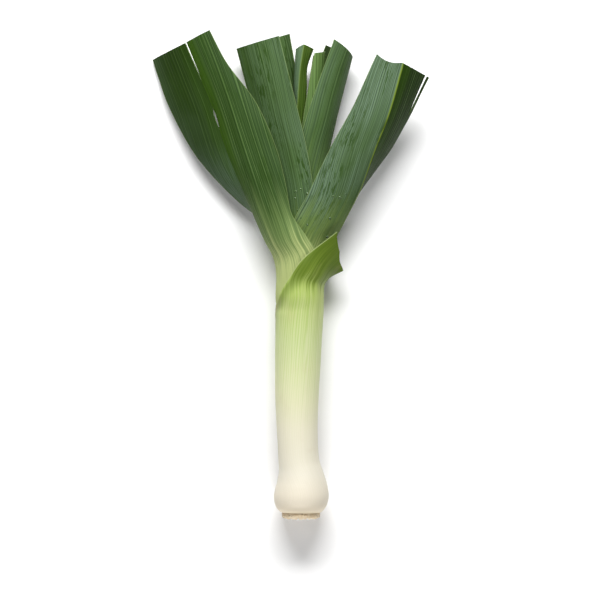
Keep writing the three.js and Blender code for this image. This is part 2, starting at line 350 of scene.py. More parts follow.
class Finish:
    """A material, mixed from nodes."""

    def __init__(self, name):
        self.material = bpy.data.materials.new(name)
        self.material.use_nodes = True
        self.tree = self.material.node_tree
        self.tree.nodes.clear()

    def node(self, kind, settings=None, inputs=None):
        """Adds one node: its settings first, then the values or links of its sockets."""
        made = self.tree.nodes.new(kind)
        for key, value in (settings or {}).items():
            if key == "stops":
                self.fill_ramp(made.color_ramp, value)
            else:
                setattr(made, key, value)
        for key, value in (inputs or {}).items():
            if isinstance(value, Number):
                value = value.socket
            if isinstance(value, bpy.types.NodeSocket):
                self.tree.links.new(value, made.inputs[key])
            else:
                made.inputs[key].default_value = value
        return made

    @staticmethod
    def fill_ramp(ramp, stops):
        while len(ramp.elements) < len(stops):
            ramp.elements.new(1)
        for element, (place, colour) in zip(ramp.elements, stops):
            element.position = place
            element.color = (*colour, 1)

    def flat_place(self, uv_map):
        """The two coordinates of a piece's own UV map."""
        uv = self.node("ShaderNodeUVMap", {"uv_map": uv_map})
        parts = self.node("ShaderNodeSeparateXYZ", {}, {0: uv.outputs[0]})
        return Number(self, parts.outputs[0]), Number(self, parts.outputs[1])

    def place(self):
        """A point's own X, Y and Z in millimetres."""
        here = self.node("ShaderNodeTexCoord")
        parts = self.node("ShaderNodeSeparateXYZ", {}, {0: here.outputs["Object"]})
        return [Number(self, parts.outputs[i]) * (1 / MM) for i in range(3)]

    def noise(self, x, y, z=0.0, detail=2.0, roughness=0.5):
        """Soft noise from 0 to 1 whose grain is about 1 unit of x, y and z."""
        at = self.node("ShaderNodeCombineXYZ", {}, {0: x, 1: y, 2: z})
        inputs = {
            "Vector": at.outputs[0],
            "Scale": 1.0,
            "Detail": detail,
            "Roughness": roughness,
        }
        return Number(self, self.node("ShaderNodeTexNoise", {}, inputs).outputs[0])

    def rise(self, value, low, high):
        """0 below low, 1 above high, smooth between; it falls instead when low is above high."""
        falls = low > high
        ends = {1: min(low, high), 2: max(low, high), 3: float(falls), 4: float(not falls)}
        settings = {"interpolation_type": "SMOOTHSTEP"}
        made = self.node("ShaderNodeMapRange", settings, {0: value, **ends})
        return Number(self, made.outputs[0])

    def blend(self, share, first, second, how="MIX"):
        """Mixes two colours: share of the second over the first."""
        settings = {"data_type": "RGBA", "blend_type": how, "clamp_factor": True}
        inputs = {0: share, 6: as_colour(first), 7: as_colour(second)}
        return self.node("ShaderNodeMix", settings, inputs).outputs[2]

    def ramp(self, value, stops):
        """A colour read off along a row of stops, each (place, colour)."""
        return self.node("ShaderNodeValToRGB", {"stops": stops}, {0: value}).outputs[0]

    def bump(self, height, distance, strength):
        """A normal from heights of 0 to 1 that stand for that distance."""
        inputs = {"Height": height, "Distance": distance, "Strength": strength}
        return self.node("ShaderNodeBump", {}, inputs).outputs[0]

    def surface(self, **sockets):
        """Ends the finish with its shader. Socket names are written with underscores."""
        inputs = {name.replace("_", " "): value for name, value in sockets.items()}
        shader = self.node("ShaderNodeBsdfPrincipled", {}, inputs)
        out = self.node("ShaderNodeOutputMaterial")
        self.tree.links.new(shader.outputs[0], out.inputs[0])
        return self.material


def as_colour(value):
    """A colour with its alpha, or a socket as it is."""
    return value if isinstance(value, bpy.types.NodeSocket) else (*value, 1.0)


# ---- Sheets --------------------------------------------------------------------------------------
UV_WIDTH = 140  # millimetres of a leaf across the whole UV map
UV_LENGTH = 260
SEAM_GAP = 0.6  # margins closer than this are joined into a tube
STRAIGHT = 1e-4  # half of the angle of an arc that is as good as straight
SMOOTH_ANGLE = math.radians(38)  # a leaf is shaded smooth across folds flatter than this
TINY = 1e-6  # as good as 0
RIM_WIDTH = 7  # how far from its margin a leaf gets its full wall
RIPPLE_LENGTH = 24
RIPPLE_START = 90  # how far from its base a leaf ripples fully
RIPPLE_POWER = 1.5  # keeps the ripples near the margins
RIPPLE_OFFSET = 9  # sets the ripples of the two halves apart
DROP_RADII = (0.35, 1.15)
DROP_HEIGHT = 0.6  # of its width
DROP_SUNK = 0.1  # how deep a drop's middle sits in the leaf, so that it never floats over a ripple
DROP_STEP = 0.01  # of v and s, to find which way a leaf faces


def through(points, t):
    """A point of a smooth curve through all the points, with t from 0 to 1."""
    last = len(points) - 1
    i = min(int(t * last), last - 1)
    f = t * last - i
    b, c = points[i], points[i + 1]
    a = points[i - 1] if i else 2 * b - c
    d = points[i + 2] if i + 2 <= last else 2 * c - b
    return b + 0.5 * f * (c - a + f * (2 * a - 5 * b + 4 * c - d + f * (3 * (b - c) + d - a)))


def arc(along, bow):
    """A point of an arc over a chord of length 1: how far along the chord, and how far off it."""
    half = 2 * math.atan(2 * bow) or STRAIGHT
    a = half * (2 * along - 1)
    width = 2 * math.sin(half)
    return 0.5 + math.sin(a) / width, (math.cos(a) - math.cos(half)) / width


def leaf_surface(stations, side):
    """A leaf's middle surface: v runs from base to cut, s from upper margin, -1, to lower, 1."""
    keel, upper, lower = ([Vector(station[i]) for station in stations] for i in range(3))
    bows = [Vector((station[3], station[4])) for station in stations]
    step = 0.5 / (len(stations) - 1)

    def at(v, s):
        margin = lower if s > 0 else upper
        start = through(keel, v)
        chord = through(margin, v) - start
        run = through(keel, min(v + step, 1)) - through(keel, max(v - step, 0))
        off = run.cross(chord).normalized() * chord.length
        x, y = arc(abs(s), through(bows, v)[int(s > 0)])
        return start + chord * x + off * (y * (-side if s > 0 else side))

    return at


def deselect_all():
    if bpy.context.object and bpy.context.object.mode != "OBJECT":
        bpy.ops.object.mode_set(mode="OBJECT")
    bpy.ops.object.select_all(action="DESELECT")


def select_only(obj):
    deselect_all()
    obj.select_set(True)
    bpy.context.view_layer.objects.active = obj


def edit(obj, mode):
    """Opens a piece in edit mode with nothing selected, to pick vertices, edges or faces."""
    select_only(obj)
    bpy.ops.object.mode_set(mode="EDIT")
    bpy.ops.mesh.select_mode(type=mode)
    bpy.ops.mesh.select_all(action="DESELECT")
    bpy.ops.object.mode_set(mode="OBJECT")


def apply_modifier(obj, kind, **settings):
    select_only(obj)
    modifier = obj.modifiers.new(kind.title(), kind)
    for key, value in settings.items():
        setattr(modifier, key, value)
    bpy.ops.object.modifier_apply(modifier=modifier.name)


def join_all(piece, others):
    """Joins other meshes to a piece."""
    select_only(piece)
    for other in others:
        other.select_set(True)
    bpy.ops.object.join()


def flat_blank(name, columns, rows):
    """A flat sheet from -1 to 1 both ways, before it is folded."""
    deselect_all()
    bpy.ops.mesh.primitive_grid_add(x_subdivisions=columns, y_subdivisions=rows, size=2)
    blank = bpy.context.object
    blank.name = name
    blank.data.name = name
    return blank


def split_columns(blank, columns, rows, tears):
    """Opens the blank along stretches of its columns, each (column, first row, last row, width)."""
    edit(blank, "EDGE")
    mesh = blank.data
    for edge in mesh.edges:
        ends = [grid_place(mesh.vertices[i].co, columns, rows) for i in edge.vertices]
        for column, first, last, _ in tears:
            on_it = all(c == column and first <= r <= last for c, r in ends)
            edge.select = edge.select or on_it
    bpy.ops.object.mode_set(mode="EDIT")
    bpy.ops.mesh.edge_split(type="EDGE")
    bpy.ops.object.mode_set(mode="OBJECT")


def grid_place(co, columns, rows):
    """The column and row of a point of a flat blank."""
    return round((co.x + 1) / 2 * columns), round((co.y + 1) / 2 * rows)


def tear_gap(tears, column, row, rows):
    """How far a tear stands open at a row, in millimetres."""
    for torn, first, last, width in tears:
        if torn == column and first <= row <= last:
            share = (row - first) / (last - first)
            return width * (math.sqrt(share) if last == rows else math.sin(math.pi * share))
    return 0


def sheet_points(stations, side, columns, rows, trim):
    """A sheet's points, row by row from base to cut. A seam that is all but closed is joined."""
    surface = leaf_surface(stations, side)
    keel = [surface(i / rows, 0) for i in range(rows + 1)]
    length = sum((far - near).length for near, far in zip(keel, keel[1:]))
    points = []
    for i in range(rows + 1):
        row = []
        for j in range(columns + 1):
            s = 2 * j / columns - 1
            cut = trim(s) / length if trim else 0
            row.append(surface(i / rows * (1 - cut), s))
        if (row[0] - row[-1]).length < SEAM_GAP:
            row[0] = row[-1] = (row[0] + row[-1]) / 2
        points.append(row)
    return points


def sheet_lengths(points, middle):
    """How far each row is along the keel, and how far each of its points is across from it."""
    along = [0.0]
    for near, far in zip(points, points[1:]):
        along.append(along[-1] + (far[middle] - near[middle]).length)
    across = []
    for row in points:
        widths = [0.0] * len(row)
        for j in range(middle, len(row) - 1):
            widths[j + 1] = widths[j] + (row[j + 1] - row[j]).length
        for j in range(middle, 0, -1):
            widths[j - 1] = widths[j] - (row[j - 1] - row[j]).length
        across.append(widths)
    return along, across


def leans(mesh):
    """Which way each vertex's faces lie from it across the blank. Beside a tear it isn't 0."""
    lean = [0.0] * len(mesh.vertices)
    for face in mesh.polygons:
        centre = face.center.x
        for i in face.vertices:
            lean[i] += centre - mesh.vertices[i].co.x
    return lean


def rippled(points, along, i, j, height, seed):
    """How far a ripple moves a point of a sheet, more towards the margins and the cut."""
    columns, rows = len(points[0]) - 1, len(points) - 1
    crosswise = points[i][min(j + 1, columns)] - points[i][max(j - 1, 0)]
    lengthwise = points[min(i + 1, rows)][j] - points[max(i - 1, 0)][j]
    normal = crosswise.cross(lengthwise).normalized()
    reach = abs(2 * j / columns - 1) ** RIPPLE_POWER * min(1, along[i] / RIPPLE_START)
    half = math.copysign(RIPPLE_OFFSET, j - columns // 2)
    wave = noise.noise(Vector((half, along[i] / RIPPLE_LENGTH, seed)))
    return normal * (height * reach * wave)


def fold_sheet(
    name, stations, side, sizes, trim=None, tears=(), ripple=0, seed=0, columns=None, rows=None
):
    """A leaf's sheet, folded from a flat blank, with its two UV maps.

    Each tear is (s, first v, last v, width in millimetres).
    """
    columns = columns or sizes.columns
    rows = rows or sizes.rows
    middle = columns // 2
    tears = [
        (round((s + 1) / 2 * columns), round(first * rows), round(last * rows), width)
        for s, first, last, width in tears
    ]
    blank = flat_blank(name, columns, rows)
    if tears:
        split_columns(blank, columns, rows, tears)
    points = sheet_points(stations, side, columns, rows, trim)
    along, across = sheet_lengths(points, middle)

    def to_margin(i, j):
        return abs(across[i][0 if j < middle else columns] - across[i][j])

    mesh = blank.data
    places = [grid_place(vertex.co, columns, rows) for vertex in mesh.vertices]
    weights = blank.vertex_groups.new(name="thickness")
    for vertex, (j, i), lean in zip(mesh.vertices, places, leans(mesh)):
        here = points[i][j]
        gap = tear_gap(tears, j, i, rows) / 2
        if gap and abs(lean) > TINY:
            beside = points[i][max(0, min(columns, j + (1 if lean > 0 else -1)))]
            here = here + (beside - here).normalized() * gap
        if ripple:
            here = here + rippled(points, along, i, j, ripple, seed)
        vertex.co = (here + SHIFT) * MM
        weights.add([vertex.index], min(1, to_margin(i, j) / RIM_WIDTH), "REPLACE")
    mesh.uv_layers[0].name = "leaf"
    mesh.uv_layers.new(name="edges")
    leaf_map, edge_map = (mesh.uv_layers[name].data for name in ("leaf", "edges"))
    for loop in mesh.loops:
        j, i = places[loop.vertex_index]
        leaf_map[loop.index].uv = (0.5 + across[i][j] / UV_WIDTH, along[i] / UV_LENGTH)
        to_cut = along[-1] - along[i]
        edge_map[loop.index].uv = (to_margin(i, j) / UV_WIDTH, to_cut / UV_LENGTH)
    mesh.update()
    return blank


def thicken(piece, wall, margin_wall, finishes):
    """Gives a sheet its wall, thinner at the margins, and its finishes: faces, then cut edges."""
    for finish in finishes:
        piece.data.materials.append(finish)
    apply_modifier(
        piece,
        "SOLIDIFY",
        thickness=wall,
        offset=0,
        vertex_group="thickness",
        thickness_vertex_group=margin_wall / wall,
        material_offset_rim=1,
        use_even_offset=False,
    )
    select_only(piece)
    bpy.ops.object.shade_smooth_by_angle(angle=SMOOTH_ANGLE)


def add_drops(piece, surface, zone, wall, rng, finish):
    """Joins water drops to a leaf. A zone is (first v, last v), (first s, last s), how many."""
    (v_low, v_high), (s_low, s_high), count = zone
    drops = []
    for _ in range(count):
        v, s = rng.uniform(v_low, v_high), rng.uniform(s_low, s_high)
        radius = rng.uniform(*DROP_RADII)
        here = surface(v, s)
        crosswise = surface(v, s + DROP_STEP) - here
        lengthwise = surface(v + DROP_STEP, s) - here
        up = crosswise.cross(lengthwise).normalized()
        up *= math.copysign(1, up.z)
        place = here + SHIFT + up * (wall / MM / 2 - DROP_SUNK)
        deselect_all()
        bpy.ops.mesh.primitive_uv_sphere_add(
            segments=16,
            ring_count=10,
            radius=radius * MM,
            calc_uvs=False,
            location=place * MM,
            rotation=up.to_track_quat("Z", "Y").to_euler(),
        )
        drop = bpy.context.object
        drop.scale.z = DROP_HEIGHT
        bpy.ops.object.transform_apply()
        bpy.ops.object.shade_smooth()
        drop.data.materials.append(finish)
        drops.append(drop)
    join_all(piece, drops)


def settle(piece, node):
    """Ties a finished piece to the frame, in place of its CAD node."""
    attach(piece, "root")
    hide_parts(node)


# ---- Plant finishes ------------------------------------------------------------------------------
VEIN_SPACING = 2.3
CLOSE_VEIN_SPACING = 1.35
VEIN_DEPTH = 0.5
SHANK_VEIN_SPACING = 1.7
SHANK_VEIN_DEPTH = 0.3
ROOT_GRAIN_DEPTH = 0.8


def mix_numbers(share, first, second):
    """First where share is 0 and second where it is 1."""
    return first if first == second else share * (second - first) + first


def leaf_finish(
    name,
    colours,
    seed,
    green,
    lower=(1, 1, 1),
    bloom_and_sheen=(0.5, 0.5),
    stripe=(1, 0.4),
    lines=(0.5, 0.5),
    wet=0.3,
    foot=70,
    base=None,
    ridge=0.3,
    low_sheen=0,
    tip_sheen=0,
):
    """Green leaf with veins along it. Pairs are for the upper half and the lower half.

    The lower half's green is green times lower; this partly paints in how light falls on that half:
    shade on the outer leaves, light on the heart leaf. bloom_and_sheen is how much blue grey wax
    and painted sheen there is, stripe how clean the green is beside the keel, lines how pale the
    veins are, wet how much is rubbed or wetted, foot how many millimetres from its base a blade
    turns green, base the colour just above that, and ridge how pale the keel is. low_sheen paints
    sheen in the bloom colour over the first part of the lower half, and tip_sheen over the end of
    the upper one.
    """
    finish = Finish(name)
    u, v = finish.flat_place("leaf")
    edge_u, _ = finish.flat_place("edges")
    across = (u - 0.5) * UV_WIDTH
    along = v * UV_LENGTH
    off_keel = abs(across)
    to_margin = edge_u * UV_WIDTH
    low = finish.rise(across, -0.3, 0.3)

    hair = finish.noise(across * 2.3, along * 0.008, seed, detail=1)
    fine = finish.noise(across * 1.0, along * 0.007, seed + 3.1, detail=1)
    broad = finish.noise(across * 0.2, along * 0.008, seed + 7.7, detail=1)
    patch = finish.noise(across * 0.07, along * 0.018, seed + 11.3, detail=3)
    rub = finish.noise(across * 0.5, along * 0.085, seed + 17.9, detail=4, roughness=0.65)
    rub_zone = finish.noise(across * 0.06, along * 0.016, seed + 23.0, detail=1)

    # Main colour: dark between the veins, then wax over it in patches, and painted sheen in the
    # same blue grey towards the margins.
    streak = finish.rise(fine, 0.36, 0.62) * 0.6 + finish.rise(hair, 0.35, 0.65) * 0.4
    main = finish.blend(low, green, tuple(g * t for g, t in zip(green, lower)))
    colour = finish.blend(streak * 0.6 + 0.4, colours.dark, main)
    patches = finish.rise(patch, 0.34, 0.62) * (0.35 + 0.65 * finish.rise(fine, 0.33, 0.62))
    margin_sheen = finish.rise(off_keel / (off_keel + to_margin), 0.6, 0.98) * 0.5
    # wax holds the real wax and the painted sheen; the next two lines add more painted sheen near
    # the base of the lower half and towards the end of the upper half.
    wax = (patches * 0.7 + margin_sheen) * mix_numbers(low, *bloom_and_sheen)
    wax = wax + finish.rise(along, 135, 95) * low * low_sheen
    wax = wax + finish.rise(along, 120, 180) * (1 - low) * finish.rise(to_margin, 3, 12) * tip_sheen
    colour = finish.blend(wax, colour, colours.bloom_and_sheen)
    # Two combs of veins: pale lines on clean green, and dark ones through the wax.
    comb = ((across + broad * 3) * (math.tau / VEIN_SPACING)).sine()
    close_comb = ((across + broad * 4) * (math.tau / CLOSE_VEIN_SPACING) + hair * 2).sine()
    bundle = (0.35 + 0.65 * finish.rise(broad, 0.36, 0.58)) * finish.rise(off_keel, 2, 5)
    vein = finish.rise(comb, 0.45, 1.0) * 0.9 + finish.rise(close_comb, 0.3, 1.0) * 0.35
    vein = vein * bundle * mix_numbers(low, *lines)
    colour = finish.blend(vein, colour, colours.vein)
    between = finish.rise(close_comb, -0.2, -0.95) * (0.25 + 0.5 * wax)
    colour = finish.blend(between, colour, colours.dark)
    # Bright, clean green beside the keel.
    beside = finish.rise(off_keel + (fine - 0.5) * 5, 9.5, 4) * mix_numbers(low, *stripe)
    colour = finish.blend(beside * (0.5 + 0.4 * streak), colour, colours.keel)
    # A thin, yellowish line on the keel itself.
    crest = finish.rise(off_keel, 0.75, 0.25) * (0.7 + 0.6 * broad) * ridge
    colour = finish.blend(crest, colour, CREST)
    # Wax rubbed off and wetted.
    wetted = finish.rise(rub, 0.53, 0.58) * finish.rise(rub_zone, 0.42, 0.56) * wet
    colour = finish.blend(wetted, colour, colours.rubbed)
    # Towards the sheath.
    ragged = along + (fine - 0.5) * 44 + (broad - 0.5) * 34 + (hair - 0.5) * 16
    colour = finish.blend(finish.rise(ragged, foot + 38, foot - 14), colour, base or colours.foot)
    colour = finish.blend(finish.rise(ragged, foot, foot - 36), colour, colours.sheath)
    rim = finish.rise(to_margin, 0.6, 0.15)
    colour = finish.blend(rim * 0.45, colour, colours.margin)

    normal = finish.bump(fine * 0.4 + comb * 0.12 + close_comb * 0.1, VEIN_DEPTH * MM, 0.7)
    dullness = 0.44 + 0.14 * finish.rise(patch, 0.3, 0.7) + 0.08 * (1 - streak) - wetted * 0.2
    return finish.surface(
        Base_Color=colour, Roughness=dullness, Normal=normal, Specular_IOR_Level=0.1
    )


def cut_finish(name, colours):
    """The thin pale edge of a leaf, where it was cut and along its margins."""
    finish = Finish(name)
    x, y, z = finish.place()
    grain = finish.noise(x * 1.6, y * 1.6, z * 1.6, detail=2)
    colour = finish.blend(finish.rise(grain, 0.3, 0.7), colours.margin, colours.inner)
    dullness = 0.45 + 0.2 * grain
    return finish.surface(Base_Color=colour, Roughness=dullness, Specular_IOR_Level=0.25)


def water_finish(name):
    """A glossy drop in the greens of the leaf that shows through it."""
    finish = Finish(name)
    x, y, z = finish.place()
    grain = finish.noise(x * 0.9, y * 0.9, z * 0.9, detail=1)
    colour = finish.blend(grain, DROP_DARK, DROP_PALE)
    dullness = 0.05 + 0.04 * grain
    return finish.surface(Base_Color=colour, Roughness=dullness, Specular_IOR_Level=0.6)


# From the root plate to the collar, as parts of UV_LENGTH.
SHANK_COLOURS = (
    (0.00, (0.80, 0.68, 0.50)),
    (0.05, (0.71, 0.64, 0.525)),
    (0.13, (0.685, 0.645, 0.545)),
    (0.25, (0.69, 0.655, 0.51)),
    (0.33, (0.66, 0.65, 0.44)),
    (0.42, (0.60, 0.625, 0.37)),
    (0.50, (0.53, 0.58, 0.31)),
    (0.58, (0.48, 0.54, 0.235)),
    (0.63, (0.38, 0.46, 0.135)),
    (0.665, (0.155, 0.220, 0.026)),
    (0.70, (0.092, 0.145, 0.008)),
)


def shank_finish(colours):
    """Cream bulb and shank with fine veins, turning yellow green and then green at the collar."""
    finish = Finish("shank_skin")
    u, v = finish.flat_place("leaf")
    edge_u, _ = finish.flat_place("edges")
    across = (u - 0.5) * UV_WIDTH
    along = v * UV_LENGTH
    fine = finish.noise(across * 1.0, along * 0.008, 2.0, detail=2)
    hair = finish.noise(across * 2.6, along * 0.008, 5.0, detail=1)
    broad = finish.noise(across * 0.22, along * 0.012, 9.0, detail=2)
    cloud = finish.noise(across * 0.08, along * 0.05, 14.0, detail=3)
    green_part = finish.rise(along, 55, 150)
    drift = (fine - 0.5) * 0.07 + (broad - 0.5) * 0.07
    colour = finish.ramp(v + drift * green_part, SHANK_COLOURS)
    comb = ((across + broad * 5) * (math.tau / SHANK_VEIN_SPACING)).sine()
    lines = finish.rise(comb, -0.2, 0.9) * 0.5 + finish.rise(hair, 0.4, 0.6) * 0.35
    deeper = finish.blend(1.0, colour, SHANK_LINES, "MULTIPLY")
    colour = finish.blend(lines * (0.14 + 0.86 * green_part), colour, deeper)
    # The collar is a deeper green beside its free margin and along its right, partly its own
    # colour and partly painted shade where the folded tip overhangs.
    to_margin = edge_u * UV_WIDTH
    collar = finish.rise(along, 128, 160)
    side_green_and_shade = finish.rise(to_margin, 12, 3) * finish.rise(to_margin, 0.5, 2.5)
    colour = finish.blend(side_green_and_shade * collar * 0.55, colour, COLLAR_SIDE_GREEN_AND_SHADE)
    # A pale line along the collar's fold ridge: painted highlight where the fold catches the light.
    pale = finish.rise(abs(across + 12 + (fine - 0.5) * 3), 3, 0.5)
    pale = pale * collar * finish.rise(along, 185, 165)
    colour = finish.blend(pale * 0.4, colour, COLLAR_RIDGE_HIGHLIGHT)
    blush = finish.rise(to_margin, 7, 1) * finish.rise(abs(along - 148), 14, 3)
    blush = blush * finish.rise(across, 0, -1)
    colour = finish.blend(blush * 0.45, colour, COLLAR_BLUSH)
    stain = finish.rise(cloud, 0.56, 0.74) * 0.12
    colour = finish.blend(stain, colour, SHANK_STAIN)
    rim = finish.rise(to_margin, 0.8, 0.2) * finish.rise(along, 140, 165)
    colour = finish.blend(rim * 0.7, colour, COLLAR_RIM)
    normal = finish.bump(fine * 0.5 + hair * 0.3 + comb * 0.12, SHANK_VEIN_DEPTH * MM, 0.4)
    dullness = 0.40 + 0.12 * cloud + 0.08 * hair
    return finish.surface(
        Base_Color=colour, Roughness=dullness, Normal=normal, Specular_IOR_Level=0.3
    )


def root_finish(colours):
    """Dry tan tissue with brown specks."""
    finish = Finish("root_tissue")
    x, y, z = finish.place()
    grain = finish.noise(x * 1.1, y * 1.1, z * 1.1, detail=5, roughness=0.65)
    blotch = finish.noise(x * 0.28, y * 0.28, z * 0.28 + 5, detail=3)
    speck = finish.noise(x * 0.8 + 30, y * 0.8, z * 0.8, detail=2)
    colour = finish.blend(finish.rise(grain, 0.3, 0.7), ROOT_DARK, colours.root)
    colour = finish.blend(finish.rise(blotch, 0.4, 0.65) * 0.6, colour, ROOT_PALE)
    colour = finish.blend(finish.rise(speck, 0.60, 0.68) * 0.7, colour, ROOT_SPECK)
    normal = finish.bump(grain, ROOT_GRAIN_DEPTH * MM, 0.7)
    return finish.surface(Base_Color=colour, Roughness=0.7 + 0.2 * grain, Normal=normal)


# ---- The pieces ----------------------------------------------------------------------------------
SHANK_COLUMNS = 80
SHANK_ROWS = 228
SEAM_END_Y = THROAT_Y - 4  # on the bulb's side of this the shank's seam is welded
SEAM_WELD = 0.02
COLLAR_THINNING = 0.6  # the wall at the collar's margin, as a part of the full wall
DROP_SEED = 5
# The parts of the leaves with drops on them.
DROP_ZONES = {
    "left_inner_leaf": ((0.28, 0.52), (-0.9, -0.1), 20),
    "right_outer_leaf": ((0.30, 0.62), (-0.9, -0.2), 12),
}
PLATE_SEAT = 0.8  # how far the root plate reaches into the bulb
PLATE_LEVEL = 1.5  # it starts as a ball: how much of its two ends is flattened
PLATE_UPRIGHT = 1.06  # and of its side
PLATE_LUMPS = 7.2  # how fine the lumps of its surface are
PLATE_SIDE_LUMPS = 0.018  # their height on its side, as a part of its radius
PLATE_FACE_LUMPS = 0.55  # their height on its cut face
PLATE_CROWN = 0.4  # how far its cut face bulges
PLATE_SMOOTH_ANGLE = math.radians(50)
GOLDEN_ANGLE = math.pi * (3 - math.sqrt(5))
STUB_SPREAD = 0.9  # of the plate's radius
STUB_RADIUS = 0.62
STUB_VARIATION = 0.25
STUB_TIP_RADIUS = 0.42
STUB_LENGTH = 1.9
STUB_LEAN = 0.5  # outwards, at the rim
STUB_OUT = 0.15  # how far a stub's middle stands out of the face, at the rim
STUB_CROWN = 0.35  # how much further in the middle


def bite(*bites):
    """How far a cut stands back from straight. Each bite is (first s, last s, millimetres)."""

    def trim(s):
        total = 0.0
        for low, high, depth in bites:
            if low < s < high:
                total += depth * math.sin(math.pi * (s - low) / (high - low))
        return total

    return trim


class LEEK_OT_shank(bpy.types.Operator):
    """Build the shank with its bulb and collar"""

    bl_idname = "leek.shank"
    bl_label = "Shank"
    bl_options = {"REGISTER", "UNDO"}

    def execute(self, context):
        sizes, colours = context.scene.leek_sizes, context.scene.leek_colours
        trim = bite((-1, -0.35, 0.4), (-0.5, -0.04, 1.0), (0.1, 1, 1.2))
        piece = fold_sheet(
            "leek_shank", SHANK, 1, sizes, trim=trim, columns=SHANK_COLUMNS, rows=SHANK_ROWS
        )
        edit(piece, "VERT")
        for vertex in piece.data.vertices:
            vertex.select = vertex.co.y < SEAM_END_Y * MM
        bpy.ops.object.mode_set(mode="EDIT")
        bpy.ops.mesh.remove_doubles(threshold=SEAM_WELD * MM)
        bpy.ops.object.mode_set(mode="OBJECT")
        wall = sizes.leaf_wall
        finishes = (shank_finish(colours), cut_finish("collar_edge", colours))
        thicken(piece, wall, wall * COLLAR_THINNING, finishes)
        settle(piece, "shank")
        return {"FINISHED"}


class LEEK_OT_leaves(bpy.types.Operator):
    """Build the six leaves"""

    bl_idname = "leek.leaves"
    bl_label = "Leaves"
    bl_options = {"REGISTER", "UNDO"}

    def execute(self, context):
        sizes, colours = context.scene.leek_sizes, context.scene.leek_colours
        green, inner, heart = tuple(colours.green), tuple(colours.inner), tuple(colours.heart)
        # node, stations, side, trim, tears, ripple, look
        plan = (
            (
                "left_outer_leaf",
                LEFT_OUTER,
                -1,
                None,
                ((0, 0.875, 1, 1.7), (0, 0.75, 0.80, 2.2)),
                0.7,
                # The darker lower half is partly painted shade on the steep half that faces away
                # from the light; low_sheen paints a grey sheen on it near its base.
                dict(
                    green=green, lower=(0.6, 0.58, 0.5), bloom_and_sheen=(0.12, 0.16), stripe=(1, 0.3),
                    lines=(0.6, 0.2), wet=0.3, foot=61, base=(0.130, 0.198, 0.062), ridge=0,
                    low_sheen=0.6,
                ),
            ),
            (
                "right_outer_leaf",
                RIGHT_OUTER,
                1,
                bite((-1, -0.05, 1.6)),
                ((0.86, 0.9, 1, 3),),
                0.7,
                # The upper half takes the light inner green and heavy bloom, partly painted sheen
                # where it faces the light; the much darker lower half is partly painted shade on
                # the side facing away, and tip_sheen paints more sheen towards the cut.
                dict(
                    green=inner, lower=(0.16, 0.21, 0.04), bloom_and_sheen=(0.95, 0.02), stripe=(0, 0.6),
                    lines=(0.3, 0.55), wet=0.7, foot=62, base=(0.125, 0.19, 0.048), ridge=0.8,
                    tip_sheen=0.7,
                ),
            ),
            (
                "left_inner_leaf",
                LEFT_INNER,
                -1,
                None,
                (),
                0.5,
                dict(
                    green=inner, lower=(1.3, 1.3, 1.15), bloom_and_sheen=(0.4, 0.15), stripe=(0.3, 0.3),
                    lines=(0.25, 0.25), wet=0.8, foot=40,
                ),
            ),
            (
                "right_inner_leaf",
                RIGHT_INNER,
                1,
                None,
                (),
                0.5,
                dict(
                    green=inner, lower=(0.2, 0.25, 0.08), bloom_and_sheen=(0.5, 0), stripe=(0.2, 0),
                    lines=(0.5, 0), wet=0.2, foot=90, base=(0.10, 0.17, 0.045),
                ),
            ),
            (
                "young_leaf",
                YOUNG,
                1,
                None,
                (),
                0.3,
                dict(
                    green=heart, bloom_and_sheen=(0.1, 0.1), stripe=(0.2, 0.2), lines=(0.3, 0.3), wet=0,
                    foot=50,
                ),
            ),
            (
                "heart_leaf",
                HEART,
                -1,
                None,
                (),
                0.2,
                # Its lower half is lighter and blue grey and its upper half darker green: painted
                # light and sheen on the facet facing the light, painted shade on the other.
                dict(
                    green=(0.07, 0.13, 0.016), lower=(2.9, 2.6, 10), bloom_and_sheen=(0, 1), stripe=(0, 0),
                    lines=(0.2, 0.2), wet=0, foot=50,
                ),
            ),
        )
        rng = random.Random(DROP_SEED)
        for seed, (node, stations, side, trim, tears, ripple, look) in enumerate(plan, 1):
            piece = fold_sheet("leek_" + node, stations, side, sizes, trim, tears, ripple, seed)
            finishes = (
                leaf_finish(node + "_skin", colours, seed * 31.0, **look),
                cut_finish(node + "_edge", colours),
            )
            thicken(piece, sizes.leaf_wall, sizes.margin_wall, finishes)
            if node in DROP_ZONES:
                water = water_finish(node + "_water")
                surface = leaf_surface(stations, side)
                add_drops(piece, surface, DROP_ZONES[node], sizes.leaf_wall, rng, water)
            settle(piece, node)
        return {"FINISHED"}


